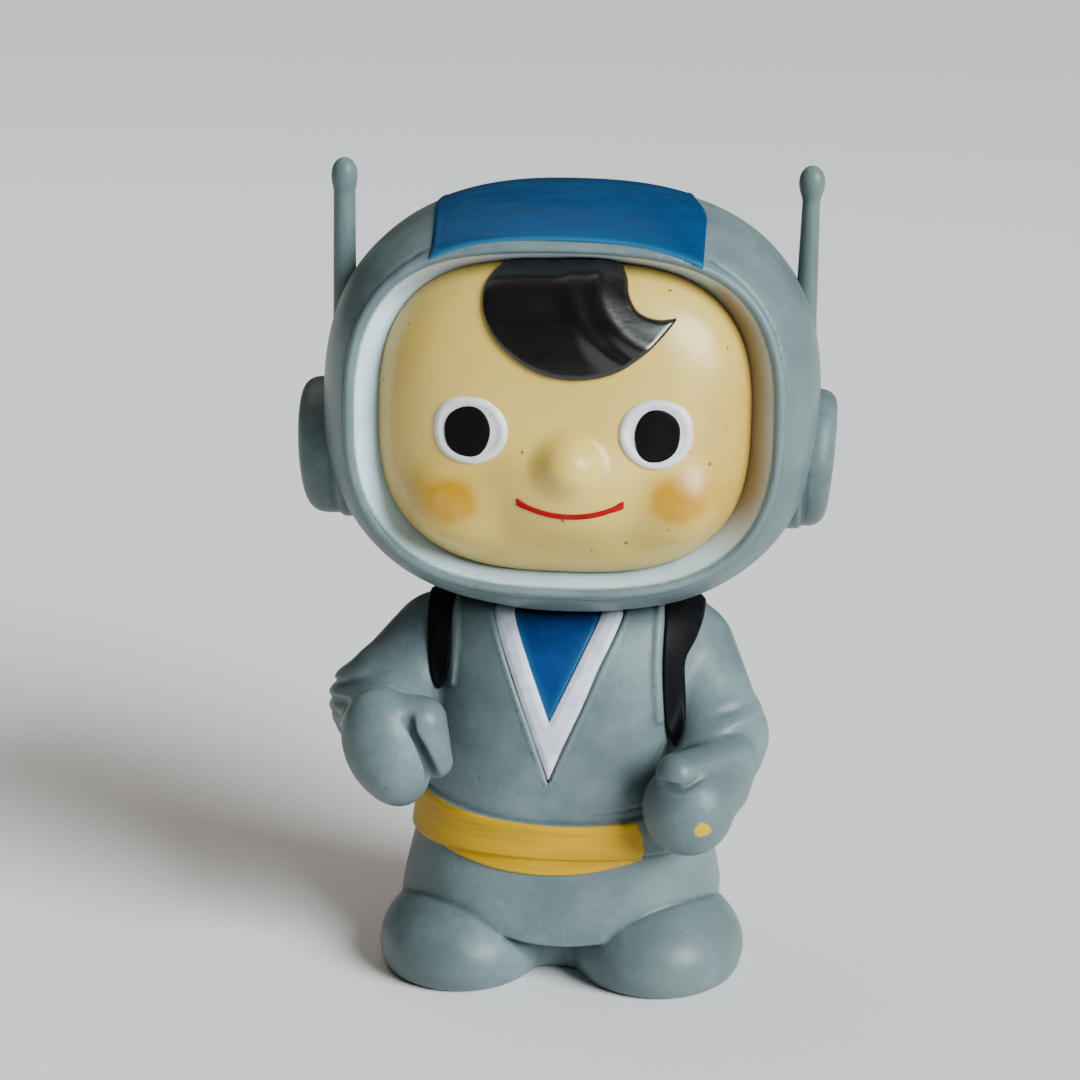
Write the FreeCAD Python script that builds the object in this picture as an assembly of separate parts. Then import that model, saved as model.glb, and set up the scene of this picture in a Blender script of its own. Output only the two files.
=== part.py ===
"""Space-suited child figure in hollow soft vinyl: a body moulding, a head moulding that turns on its neck plug,
and the raised painted details that each carry their own colour.

Row frame, millimetres: +Z up, the figure faces -Y, and +X is the figure's own left. The origin is on the
ground under the neck, so the neck's turning axis is the Z axis.
"""

import math
import os
from functools import lru_cache

import FreeCAD, Part

Vec = FreeCAD.Vector

# ---- driving dimensions ----
WALL = 2.2                     # vinyl wall
CURVE_POINTS = 40              # points that carry each superellipse

HELMET = (47.5, 42.0, 40.6)    # half width, half depth, half height
HELMET_Z = 112.9               # its centre above the ground
HELMET_POWER = 2.45            # 2 is an ellipsoid, higher is boxier
HELMET_CUT_Z = 72.9            # flat underside round the neck

OPENING_Z = 112.75             # face opening: centre height
OPENING_POWER = 3.2
OPENING_RIM = (39.4, 30.6)     # half width and height at the rim
OPENING_RIM_Y = -28.5
OPENING_TAPER = (0.9, 0.3)     # width and height lost per millimetre towards the back
OPENING_BACK_Y = -19.6         # back edge of the rim's inner wall
OPENING_FRONT_Y = -46.0        # clear in front of the helmet

FACE = (35.6, 20.0, 30.4)      # half width, depth and height of the pillow-shaped face
FACE_Y = -16.0
FACE_POWER = 2.7
FLANGE_LIP = 3.0               # glued flange behind the rim's wall
FLANGE_THICK = 1.8
NOSE_R = 5.6
NOSE_AT = Vec(2.0, -36.4, 106.0)

EYES = {"right": (-16.3, 112.0), "left": (17.6, 112.4)}
EYE_HALF = (6.6, 6.15)
EYE_RISE = 0.5
PUPILS = {"right": (-16.7, 111.8), "left": (17.8, 112.1)}
PUPIL_HALF = (4.15, 4.75)
PUPIL_RISE = 0.25
MOUTH_HALF_W, MOUTH_SAG, MOUTH_WIDE, MOUTH_RISE = 9.6, 2.3, 1.0, 0.3
MOUTH_AT = (2.4, 99.5)         # x and z of the middle between its corners
HAIR_RISE = 1.6

EAR_R, EAR_OUT_X, EAR_EDGE_R = 13.7, 52.1, 2.6
EAR_Z = {"right": 100.4, "left": 101.7}
ANTENNA_X = {"right": 45.4, "left": 44.2}
ANTENNA_TOP_Z = {"right": 156.6, "left": 157.6}
ANTENNA_Y, ANTENNA_FOOT_Z = 4.5, 112.0
ANTENNA_R, ANTENNA_TIP_R, ANTENNA_BALL_R, ANTENNA_BALL_LONG = 2.3, 1.85, 2.5, 6.4

PANEL_HALF_W, PANEL_RISE, PANEL_BACK_Z = 24.9, 0.4, 104.0

NECK_R, NECK_CLEAR, NECK_HOLE_R = 12.6, 0.06, 9.6
NECK_TOP_Z = 80.4
COLLAR_R, COLLAR_TOP_Z = 17.4, 77.0   # thickened ring round the helmet's neck hole
FLANGE_R, FLANGE_Z = 15.2, 77.2       # snap flange above that ring

# torso and trousers, from the shoulders down: height, half width, half depth, centre y
TORSO = [
    (72.7, 24.6, 15.0, 1.0),
    (71.9, 26.4, 16.4, 1.0),
    (69.5, 27.6, 17.6, 0.8),
    (65.0, 27.6, 18.9, 0.4),
    (56.0, 26.6, 20.6, 0.0),
    (46.0, 26.8, 21.9, 0.0),
    (38.0, 27.9, 22.5, 0.0),
    (33.0, 28.6, 22.7, 0.0),
    (26.0, 29.3, 23.1, 0.0),
    (20.0, 30.6, 24.2, 0.0),
    (14.0, 32.0, 25.3, 0.0),
    (9.0, 32.4, 25.8, 0.0),
]
TORSO_POWER = 2.3
BELT_Z = (25.8, 33.4)
BELT_RISE = 0.8
# front view of the painted run of the belt, x and z
BELT_PAINT = [(-40.0, 33.4), (17.0, 33.4), (17.0, 26.2), (8.0, 23.8), (-3.0, 22.9), (-14.6, 23.8), (-21.7, 25.5),
              (-40.0, 28.0)]

SOLE_CORE = [(0.0, 24.0, 17.0, 1.5), (2.5, 27.0, 20.0, 0.5), (10.0, 29.0, 22.0, 0.0)]
BOOT_X, BOOT_Y = 19.0, -7.8
BOOT = [
    (0.0, 14.6, 16.8), (0.9, 16.2, 18.5), (3.0, 17.4, 19.8), (5.5, 17.8, 20.3),
    (8.5, 17.1, 19.6), (11.5, 15.2, 17.5), (14.5, 12.0, 14.0), (17.0, 8.0, 9.5),
]
BOOT_HOLLOW = [(2.2, 13.4, 15.6), (4.5, 15.0, 17.6), (8.5, 14.4, 16.9), (12.5, 11.4, 13.3)]

# each arm: shoulder, elbow and wrist with the sleeve's radius there, then the hand's lobes as
# (centre, half sizes, tilt about Y in degrees)
RIGHT_SLEEVE = [(Vec(-25.0, 2.0, 61.2), 10.6), (Vec(-35.4, -7.0, 50.4), 9.7), (Vec(-34.0, -18.0, 50.6), 8.2)]
RIGHT_HAND = [(Vec(-32.6, -25.0, 48.4), Vec(8.3, 7.2, 11.2), -16.0),
              (Vec(-25.3, -25.2, 50.4), Vec(4.4, 4.6, 9.4), -18.0)]
LEFT_SLEEVE = [(Vec(22.5, 2.0, 61.5), 10.8), (Vec(31.2, -7.0, 47.4), 9.3), (Vec(29.0, -17.0, 41.4), 9.2)]
LEFT_HAND = [(Vec(25.9, -24.5, 38.5), Vec(9.3, 8.6, 9.5), 0.0), (Vec(24.7, -25.5, 48.3), Vec(6.4, 5.6, 4.3), -14.0)]
ARM_WALL = 2.4

# V neckline, front view, x and z: the suit's edge, then the undershirt's edge
V_OUTER = [(-17.6, 82.0), (15.6, 82.0), (-1.7, 41.2)]
V_INNER = [(-13.6, 82.0), (11.6, 82.0), (-1.9, 52.6)]
COLLAR_DEEP, SHIRT_DEEP, INLAY_DEEP = 0.45, 0.9, 1.5

STRAP_RIGHT = [(-28.4, 82.0), (-22.4, 82.0), (-21.8, 65.0), (-22.6, 59.0), (-24.0, 57.6), (-25.6, 59.4), (-26.6, 64.0)]
STRAP_LEFT = [(19.6, 82.0), (28.6, 82.0), (26.6, 70.0), (24.6, 63.0), (24.8, 54.0), (22.8, 49.6), (20.4, 52.0),
              (19.3, 63.0)]
STRAP_RISE = 0.8
STRAP_BACK_Y = 3.0                   # the painted strap ends over the shoulder's ridge

PACK_HALF_W, PACK_Z, PACK_BACK_Y, PACK_EDGE_R = 14.5, (40.0, 64.0), 27.0, 3.0


# ---- curves and solids ----
def superpoint(angle, half_u, half_v, power):
    """A point of the superellipse |u/half_u|^power + |v/half_v|^power = 1 in the direction of angle."""
    c, s = math.cos(angle), math.sin(angle)
    reach = (abs(c / half_u) ** power + abs(s / half_v) ** power) ** (-1 / power)
    return reach * c, reach * s


def super_wire(place, half_u, half_v, power):
    """A smooth closed superellipse; place(u, v) puts its points in space."""
    step = 2 * math.pi / CURVE_POINTS
    points = [place(*superpoint(i * step, half_u, half_v, power)) for i in range(CURVE_POINTS)]
    curve = Part.BSplineCurve()
    curve.interpolate(points, PeriodicFlag=True)
    return Part.Wire(curve.toShape())


def superellipsoid(centre, half, power, end=0.995, stations=8):
    """A solid superellipsoid, lofted through sections across X with small flats at its two ends."""
    wires = []
    top = math.asin(end)
    for i in range(-stations, stations + 1):
        share = math.sin(top * i / stations)
        k = (1 - abs(share) ** power) ** (1 / power)
        x = centre.x + half[0] * share
        wires.append(super_wire(lambda u, v, x=x: Vec(x, centre.y + u, centre.z + v), half[1] * k, half[2] * k, power))
    return Part.makeLoft(wires, True, False)


def stack(rows, power, grow=0.0, place=(0.0, 0.0)):
    """A solid lofted through level superellipses: rows of height, half width, half depth and centre y."""
    wires = []
    for z, half_w, half_d, *rest in rows:
        y = rest[0] if rest else 0.0
        wires.append(super_wire(
            lambda u, v, z=z, y=y: Vec(place[0] + u, place[1] + y + v, z), half_w + grow, half_d + grow, power))
    return Part.makeLoft(wires, True, False)


@lru_cache(None)
def torso(grow=0.0):
    """The torso and trousers' outline grown by a margin."""
    rows = [list(r) for r in TORSO]
    rows[0][0] += grow
    return stack(rows, TORSO_POWER, grow)


def level_box(x0, x1, y0, y1, z0, z1):
    return Part.makeBox(x1 - x0, y1 - y0, z1 - z0, Vec(x0, y0, z0))


def ellipsoid(centre, half, tilt_y=0.0):
    ball = Part.makeSphere(1.0)
    m = FreeCAD.Matrix()
    m.scale(half.x, half.y, half.z)
    ball = ball.transformGeometry(m)
    ball.rotate(Vec(0, 0, 0), Vec(0, 1, 0), tilt_y)
    ball.translate(centre)
    return ball


def sleeve(points):
    """Round-ended tapering tube through the points, each with its radius."""
    pieces = [Part.makeSphere(r, p) for p, r in points]
    for (p, r), (q, s) in zip(points, points[1:]):
        pieces.append(Part.makeCone(r, s, (q - p).Length, p, q - p))
    return pieces


def front_prism(outline, y0=-60.0, y1=0.0):
    """A prism along Y with a straight-sided outline of x and z."""
    loop = [Vec(x, y0, z) for x, z in outline]
    face = Part.Face(Part.makePolygon(loop + loop[:1]))
    return face.extrude(Vec(0, y1 - y0, 0))


def fuse_each(shapes):
    whole = shapes[0]
    for shape in shapes[1:]:
        whole = whole.fuse(shape)
    return whole


# ---- head ----
def helmet_solid(grow=0.0):
    half = tuple(h + grow for h in HELMET)
    return superellipsoid(Vec(0, 0, HELMET_Z), half, HELMET_POWER, stations=9)


def opening(grow=0.0, back_y=OPENING_BACK_Y):
    """The tapering hole that the face shows through, grown by a margin."""
    wires = []
    for y in (OPENING_FRONT_Y, back_y):
        half_w, half_h = [h + t * (OPENING_RIM_Y - y) + grow for h, t in zip(OPENING_RIM, OPENING_TAPER)]
        wires.append(super_wire(lambda u, v, y=y: Vec(u, y, OPENING_Z + v), half_w, half_h, OPENING_POWER))
    return Part.makeLoft(wires, True, True)


def make_helmet(outer):
    shell = outer.cut(helmet_solid(-WALL))
    wall = opening(WALL).common(outer)
    collar = Part.makeCylinder(COLLAR_R, COLLAR_TOP_Z - HELMET_CUT_Z, Vec(0, 0, HELMET_CUT_Z))
    shell = shell.fuse(wall).fuse(collar.common(outer))
    shell = shell.cut(opening())
    shell = shell.cut(level_box(-60, 60, -60, 60, 0, HELMET_CUT_Z))
    bore = Part.makeCylinder(NECK_R + NECK_CLEAR, 30, Vec(0, 0, HELMET_CUT_Z - 10))
    return shell.cut(bore)


@lru_cache(None)
def face_solid(grow=0.0):
    half = tuple(h + grow for h in FACE)
    return superellipsoid(Vec(0, FACE_Y, OPENING_Z), half, FACE_POWER)


def make_face():
    window = opening()
    cap = face_solid().common(window)
    nose = Part.makeSphere(NOSE_R, NOSE_AT)
    half_w, half_h = [h + t * (OPENING_RIM_Y - OPENING_BACK_Y) + FLANGE_LIP for h, t in zip(OPENING_RIM, OPENING_TAPER)]
    wires = [super_wire(lambda u, v, y=y: Vec(u, y, OPENING_Z + v), half_w, half_h, OPENING_POWER)
             for y in (OPENING_BACK_Y, OPENING_BACK_Y + FLANGE_THICK)]
    flange = Part.makeLoft(wires, True, True)
    hollow = face_solid(-WALL).fuse(level_box(-28, 28, -22, 0, 90, 135))
    return cap.fuse(nose).fuse(flange).cut(hollow)


def face_patch(prism, rise, base=0.0):
    """A patch raised above the face, from base to base + rise proud of it."""
    return face_solid(base + rise).cut(face_solid(base)).common(prism)


def eye_prism(centre, half):
    wire = super_wire(lambda u, v: Vec(centre[0] + u, -60, centre[1] + v), half[0], half[1], 2.0)
    return Part.Face(wire).extrude(Vec(0, 40, 0))


def make_mouth():
    """A smile: the band between two arcs through its corners."""
    x, z = MOUTH_AT
    half = MOUTH_WIDE / 2
    left, right = Vec(x - MOUTH_HALF_W, -60, z), Vec(x + MOUTH_HALF_W, -60, z)
    up = Vec(0, 0, half)
    low = Vec(x, -60, z - MOUTH_SAG)
    upper = Part.Arc(left + up, low + up, right + up).toShape()
    lower = Part.Arc(right - up, low - up, left - up).toShape()
    ends = [Part.makeLine(right + up, right - up), Part.makeLine(left - up, left + up)]
    face = Part.Face(Part.Wire([upper, ends[0], lower, ends[1]]))
    return face_patch(face.extrude(Vec(0, 40, 0)), MOUTH_RISE)


def make_hair():
    """The forelock: a round sweep of hair that ends in a lifted tip on the figure's left."""
    tip, notch, crown_left, crown_right = (20.4, 133.0), (12.2, 136.6), (-13.2, 140.4), (9.6, 142.2)
    y = -60.0
    at = lambda p: Vec(p[0], y, p[1])
    sweep = Part.BSplineCurve()
    sweep.interpolate([at(p) for p in (crown_left, (-14.4, 134.0), (-8.5, 125.6), (3.4, 121.8), (13.6, 125.6), tip)])
    hook = Part.Arc(at(tip), at((15.4, 134.2)), at(notch)).toShape()
    rise = Part.Arc(at(notch), at((10.2, 139.4)), at(crown_right)).toShape()
    crown = Part.Arc(at(crown_right), at((-2.0, 143.0)), at(crown_left)).toShape()
    face = Part.Face(Part.Wire([sweep.toShape(), hook, rise, crown]))
    patch = face_patch(face.extrude(Vec(0, 40, 0)), HAIR_RISE)
    return patch.common(opening(-0.3))


def make_ear(name, side, outer):
    reach = EAR_OUT_X - 36.0
    foot = Vec(36.0, 0, EAR_Z[name])
    puck = Part.makeCylinder(EAR_R, reach, foot, Vec(1, 0, 0))
    rim = [e for e in puck.Edges if abs(e.CenterOfMass.x - EAR_OUT_X) < 0.1 and e.Closed]
    puck = puck.makeFillet(EAR_EDGE_R, rim)
    hollow = Part.makeCylinder(EAR_R - WALL, reach - WALL, foot, Vec(1, 0, 0))
    cup = puck.cut(hollow).cut(outer)
    return cup if side > 0 else cup.mirror(Vec(0, 0, 0), Vec(1, 0, 0))


def make_antenna(name, side, outer):
    """A tapering rod with a drop-shaped tip, its foot running down the helmet's side to the ear cup."""
    x, top = ANTENNA_X[name], ANTENNA_TOP_Z[name]
    middle = Vec(x, ANTENNA_Y, top - ANTENNA_BALL_LONG / 2)
    foot = Vec(x, ANTENNA_Y, ANTENNA_FOOT_Z)
    rod = Part.makeCone(ANTENNA_R, ANTENNA_TIP_R, middle.z - foot.z, foot)
    ball = ellipsoid(middle, Vec(ANTENNA_BALL_R, ANTENNA_BALL_R, ANTENNA_BALL_LONG / 2))
    ear = Part.makeCylinder(EAR_R, 30, Vec(30, 0, EAR_Z[name]), Vec(1, 0, 0))
    rod = rod.fuse(ball).cut(outer).cut(ear)
    return rod if side > 0 else rod.mirror(Vec(0, 0, 0), Vec(1, 0, 0))


def make_panel(outer):
    skin = helmet_solid(PANEL_RISE).cut(outer)
    skin = skin.common(level_box(-PANEL_HALF_W, PANEL_HALF_W, -60, 60, PANEL_BACK_Z, 170))
    return skin.cut(opening(2.4, back_y=-8.0))


# ---- body ----
def strap(outline):
    band = torso(STRAP_RISE).cut(torso())
    return band.common(front_prism(outline, y1=STRAP_BACK_Y))


def belt_band(grow_out, grow_in):
    """The raised waistband between two offsets of the torso."""
    band = torso(grow_out).cut(torso(grow_in))
    return band.common(level_box(-60, 60, -60, 60, *BELT_Z))


def make_pack():
    """A low pack moulded on the back, its outer edges rounded."""
    z0, z1 = PACK_Z
    box = level_box(-PACK_HALF_W, PACK_HALF_W, 0.0, PACK_BACK_Y, z0, z1)
    edges = [e for e in box.Edges if e.CenterOfMass.y > 1.0]
    return box.makeFillet(PACK_EDGE_R, edges).cut(torso())


def make_neck():
    post = Part.makeCylinder(NECK_R, NECK_TOP_Z - 66.0, Vec(0, 0, 66.0))
    snap = Part.makeCone(FLANGE_R, NECK_R, NECK_TOP_Z - FLANGE_Z, Vec(0, 0, FLANGE_Z))
    return post.fuse(snap)


def boots():
    return [stack(BOOT, 2.1, place=(side * BOOT_X, BOOT_Y)) for side in (-1, 1)]


def arms(shrink=0.0):
    pieces = []
    for rows in (RIGHT_SLEEVE, LEFT_SLEEVE):
        pieces += sleeve([(p, r - shrink) for p, r in rows])
    for lobes in (RIGHT_HAND, LEFT_HAND):
        for centre, half, tilt in lobes:
            if min(half.x, half.y, half.z) - shrink > 2.2:
                pieces.append(ellipsoid(centre, half - Vec(shrink, shrink, shrink), tilt))
    return pieces


def trunk_hollow():
    rows = [list(r) for r in TORSO]
    rows[0][0] -= WALL
    del rows[1]
    return stack(rows, TORSO_POWER, -WALL)


def make_moulding():
    """Trunk, neck, boots and arms in one skin, hollow and open at the neck."""
    core = stack(SOLE_CORE[::-1], TORSO_POWER)
    hollow = trunk_hollow()
    body = fuse_each([torso(), core] + boots() + [belt_band(BELT_RISE, -0.5), make_neck()])
    body = body.cut(hollow).cut(Part.makeCylinder(NECK_HOLE_R, 30.0, Vec(0, 0, 60.0)))
    for side in (-1, 1):
        body = body.cut(stack(BOOT_HOLLOW, 2.1, place=(side * BOOT_X, BOOT_Y)))
    for piece in arms():
        kept = max(piece.cut(hollow).Solids, key=lambda s: s.Volume)
        body = body.fuse(kept)
    for space in arms(ARM_WALL):
        body = body.cut(space)
    return body


def make_body():
    """The body moulding and the painted pieces let into its front."""
    body = make_moulding()
    floor = torso(-INLAY_DEEP)
    v_outer, v_inner = front_prism(V_OUTER), front_prism(V_INNER)
    body = body.cut(torso().cut(floor).common(v_outer))
    collar = torso(-COLLAR_DEEP).cut(floor).common(v_outer.cut(v_inner))
    shirt = torso(-SHIRT_DEEP).cut(floor).common(v_inner)
    belt = torso(BELT_RISE).cut(torso()).common(front_prism(BELT_PAINT, y1=2.0))
    for piece in arms():
        belt = belt.cut(piece)
    return body.cut(belt), collar, shirt, belt


def main():
    outer = helmet_solid()
    body, collar, shirt, belt = make_body()
    made = {
        "body_shell": body,
        "collar_band": collar,
        "undershirt": shirt,
        "belt": belt,
        "right_strap": strap(STRAP_RIGHT).cut(body),
        "left_strap": strap(STRAP_LEFT).cut(body),
        "back_pack": make_pack(),
        "helmet_shell": make_helmet(outer),
        "face_shell": make_face(),
        "crown_panel": make_panel(outer),
        "hair_forelock": make_hair(),
        "mouth_line": make_mouth(),
    }
    for name, side in (("right", -1), ("left", 1)):
        made[name + "_ear_cup"] = make_ear(name, side, outer)
        made[name + "_antenna"] = make_antenna(name, side, outer)
        made[name + "_eye"] = face_patch(eye_prism(EYES[name], EYE_HALF), EYE_RISE)
        made[name + "_pupil"] = face_patch(eye_prism(PUPILS[name], PUPIL_HALF), PUPIL_RISE, EYE_RISE)
    os.makedirs("parts", exist_ok=True)
    for name, shape in made.items():
        solids = [s for s in shape.Solids if s.Volume > 0.05]
        shape = solids[0] if len(solids) == 1 else Part.makeCompound(solids)
        box = shape.BoundBox
        print(f"{name:16s} solids {len(solids)} valid {shape.isValid()} volume {shape.Volume:9.1f} "
              f"x {box.XMin:.1f} {box.XMax:.1f} y {box.YMin:.1f} {box.YMax:.1f} z {box.ZMin:.1f} {box.ZMax:.1f}")
        shape.exportStep(f"parts/{name}.step")


main()
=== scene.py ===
"""Child astronaut figure in soft vinyl. Each piece's surface is a distance field in millimetres, meshed and
then pulled onto its zero level; paint and vinyl are procedural materials. +Z up, the figure faces -Y."""

import math

import bpy
import numpy as np
import openvdb
from mathutils import Matrix, Vector


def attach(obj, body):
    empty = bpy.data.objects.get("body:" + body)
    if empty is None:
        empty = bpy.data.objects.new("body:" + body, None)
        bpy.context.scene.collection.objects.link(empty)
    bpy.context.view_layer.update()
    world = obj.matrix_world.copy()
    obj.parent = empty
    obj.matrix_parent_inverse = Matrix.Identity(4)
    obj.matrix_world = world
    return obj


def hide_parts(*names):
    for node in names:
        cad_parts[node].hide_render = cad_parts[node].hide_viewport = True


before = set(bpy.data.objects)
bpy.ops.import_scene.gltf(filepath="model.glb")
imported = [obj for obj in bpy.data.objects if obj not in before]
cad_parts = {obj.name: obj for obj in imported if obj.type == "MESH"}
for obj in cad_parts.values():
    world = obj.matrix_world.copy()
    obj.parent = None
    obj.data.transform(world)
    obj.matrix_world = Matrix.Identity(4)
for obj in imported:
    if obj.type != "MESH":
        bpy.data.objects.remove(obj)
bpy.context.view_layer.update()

MM = 0.001


# ---- distance fields: every one takes x, y, z in millimetres and is negative inside ----
def smin(a, b, k):
    """Union with a fillet of about k."""
    h = np.maximum(k - np.abs(a - b), 0.0) / k
    return np.minimum(a, b) - h * h * k * 0.25


def smax(a, b, k):
    """Intersection with an edge rounded by about k."""
    return -smin(-a, -b, k)


def smooth_step(value, low, high):
    """0 below low and 1 above high, with an easy change between."""
    t = np.clip((value - low) / (high - low), 0.0, 1.0)
    return t * t * (3.0 - 2.0 * t)


def turned(x, z, angle):
    """x and z measured in axes turned about Y by angle degrees."""
    c, s = math.cos(math.radians(angle)), math.sin(math.radians(angle))
    return x * c - z * s, x * s + z * c


def ball(x, y, z, centre, half, tilt=0.0):
    """An ellipsoid of half sizes half, tilted about Y."""
    dx, dy, dz = x - centre[0], y - centre[1], z - centre[2]
    dx, dz = turned(dx, dz, tilt)
    k0 = np.sqrt((dx / half[0]) ** 2 + (dy / half[1]) ** 2 + (dz / half[2]) ** 2)
    k1 = np.sqrt((dx / half[0] ** 2) ** 2 + (dy / half[1] ** 2) ** 2 + (dz / half[2] ** 2) ** 2)
    return k0 * (k0 - 1.0) / np.maximum(k1, 1e-6)


def rod(x, y, z, a, b, ra, rb):
    """A round-ended tapering rod from a to b."""
    ax = [b[i] - a[i] for i in range(3)]
    length2 = sum(c * c for c in ax)
    t = ((x - a[0]) * ax[0] + (y - a[1]) * ax[1] + (z - a[2]) * ax[2]) / length2
    t = np.clip(t, 0.0, 1.0)
    d2 = (x - a[0] - t * ax[0]) ** 2 + (y - a[1] - t * ax[1]) ** 2 + (z - a[2] - t * ax[2]) ** 2
    return np.sqrt(d2) - (ra + t * (rb - ra))


def superball(x, y, z, centre, half, power):
    """A superellipsoid; power 2 is an ellipsoid and a higher one is boxier."""
    u = [np.abs((v - c) / h) + 1e-9 for v, c, h in zip((x, y, z), centre, half)]
    total = u[0] ** power + u[1] ** power + u[2] ** power
    value = total ** (1.0 / power)
    slope = np.sqrt(sum((ui ** (power - 1.0) / h) ** 2 for ui, h in zip(u, half))) * value ** (1.0 - power)
    return (value - 1.0) / np.maximum(slope, 1e-4)


def superoval(u, v, half_u, half_v, power):
    """The same in two directions."""
    a, b = np.abs(u / half_u) + 1e-9, np.abs(v / half_v) + 1e-9
    value = (a ** power + b ** power) ** (1.0 / power)
    slope = np.sqrt((a ** (power - 1.0) / half_u) ** 2 + (b ** (power - 1.0) / half_v) ** 2)
    return (value - 1.0) / np.maximum(slope * value ** (1.0 - power), 1e-4)


def outline(x, z, points):
    """Distance to a closed outline of x and z corners, negative inside."""
    best = np.full(np.broadcast(x, z).shape, 1e9)
    inside = np.zeros(best.shape, bool)
    for (ax, az), (bx, bz) in zip(points, points[1:] + points[:1]):
        ex, ez = bx - ax, bz - az
        t = np.clip(((x - ax) * ex + (z - az) * ez) / (ex * ex + ez * ez), 0.0, 1.0)
        best = np.minimum(best, (x - ax - t * ex) ** 2 + (z - az - t * ez) ** 2)
        crosses = (az > z) != (bz > z)
        inside ^= crosses & (x < ax + (z - az) * ex / (ez if abs(ez) > 1e-9 else 1e-9))
    return np.where(inside, -1.0, 1.0) * np.sqrt(best)


def rounded(points, sharp=(), per=4):
    """A smooth closed curve through the points, with a real corner at each point numbered in sharp."""
    out = []
    count = len(points)
    for i in range(count):
        a, b = np.array(points[i]), np.array(points[(i + 1) % count])
        before = a - (b - a) if i in sharp else np.array(points[i - 1])
        after = b + (b - a) if (i + 1) % count in sharp else np.array(points[(i + 2) % count])
        for t in np.arange(per) / per:
            spot = (2 * a + (b - before) * t + (2 * before - 5 * a + 4 * b - after) * t ** 2
                    + (3 * a - before - 3 * b + after) * t ** 3) / 2
            out.append((float(spot[0]), float(spot[1])))
    return out


def track(x, z, points):
    """Distance to an open line of x and z corners."""
    best = 1e9
    for (ax, az), (bx, bz) in zip(points, points[1:]):
        ex, ez = bx - ax, bz - az
        t = np.clip(((x - ax) * ex + (z - az) * ez) / (ex * ex + ez * ez), 0.0, 1.0)
        best = np.minimum(best, (x - ax - t * ex) ** 2 + (z - az - t * ez) ** 2)
    return np.sqrt(best)


def ridge(whole, skin, flat, radius, k):
    """A bead of that radius laid along a line on the skin."""
    return smin(whole, np.sqrt(flat ** 2 + skin ** 2) - radius, k)


def waves(x, y, z, size, seed):
    """A smooth lumpy value in about -1..1, with lumps of about size."""
    total = 0.0
    rng = np.random.RandomState(seed)
    for _ in range(7):
        d = rng.normal(size=3)
        d /= np.linalg.norm(d)
        length = size * rng.uniform(0.7, 1.5)
        total = total + np.sin((x * d[0] + y * d[1] + z * d[2]) * 6.283 / length + rng.uniform(0, 6.283))
    return total / 3.5


# ---- head ----
WALL = 2.4                     # vinyl wall
HEAD_C, HEAD_HALF, HEAD_POWER = (0.0, 0.0, 112.9), (47.5, 42.0, 40.6), 2.45
HEAD_FOOT = 72.9               # flat underside round the neck
NECK_HOLE = 12.8               # radius
OPEN_Z, OPEN_POWER = 112.75, 3.2
OPEN_HALF = (39.4, 30.6)       # half width and height of the face opening at its rim
OPEN_TAPER = (0.9, 0.3)        # what they lose per millimetre towards the back
RIM_Y, WALL_BACK = -28.5, -19.8
BEAD_FRONT = -12.0             # the rim's bead lies wholly in front of this
FACE_C, FACE_HALF, FACE_POWER = (0.0, -16.0, 112.75), (35.6, 20.0, 30.4), 2.7
EAR_R = 13.3


def helmet_skin(x, y, z):
    """The helmet's plain outside."""
    return superball(x, y, z, HEAD_C, HEAD_HALF, HEAD_POWER)


def opening(x, y, z):
    """The tapering hole that the face shows through."""
    depth = np.minimum(y - RIM_Y, 14.0)
    half_w = OPEN_HALF[0] - OPEN_TAPER[0] * depth
    half_h = OPEN_HALF[1] - OPEN_TAPER[1] * depth
    return superoval(x, z - OPEN_Z, half_w, half_h, OPEN_POWER)


def beaded(x, y, z):
    """The helmet's outside with the rolled bead round its opening."""
    skin = helmet_skin(x, y, z)
    bead = np.sqrt((opening(x, y, z) - 1.5) ** 2 + (skin + 0.9) ** 2) - 1.75
    return smin(skin, np.where(y < BEAD_FRONT, bead, 5.0), 1.2)


def rim_groove(x, y, z):
    """The line pressed in round the bead, which stops at the painted stripe."""
    beside_stripe = np.clip(smooth_step(np.abs(x), 25.0, 28.0) + (z < 120.0), 0.0, 1.0)
    line = np.sqrt((opening(x, y, z) - 3.4) ** 2 + (helmet_skin(x, y, z) - 0.12) ** 2)
    return np.where(y < 0, 0.62 - line - 0.7 * (1.0 - beside_stripe), -5.0)


def helmet(x, y, z):
    """The hollow head moulding: shell, wall round the face, collar at the neck, bead and groove."""
    skin = helmet_skin(x, y, z)
    hole = opening(x, y, z)
    from_axis = np.hypot(x, y)
    shell = smax(skin, -(skin + WALL), 0.3)
    wall = smax(smax(skin, hole - 2.6, 0.5), y - WALL_BACK, 0.5)
    collar = np.maximum(smax(skin, from_axis - 17.4, 0.5), z - 77.0)
    whole = smin(smin(shell, wall, 1.0), collar, 0.8)
    bead = np.maximum(beaded(x, y, z), -(skin + 2.6))
    bead = np.maximum(bead, np.maximum(hole - 4.0, y - BEAD_FRONT))
    whole = smax(np.minimum(whole, bead), rim_groove(x, y, z), 0.5)
    whole = smax(whole, -np.maximum(hole, y - WALL_BACK), 0.9)
    whole = smax(whole, HEAD_FOOT - z, 0.8) + 0.12 * waves(x, y, z, 24.0, 1)
    return smax(whole, -(from_axis - NECK_HOLE), 0.3)


def face_skin(x, y, z):
    """The plain pillow of the face."""
    return superball(x, y, z, FACE_C, FACE_HALF, FACE_POWER)


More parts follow.
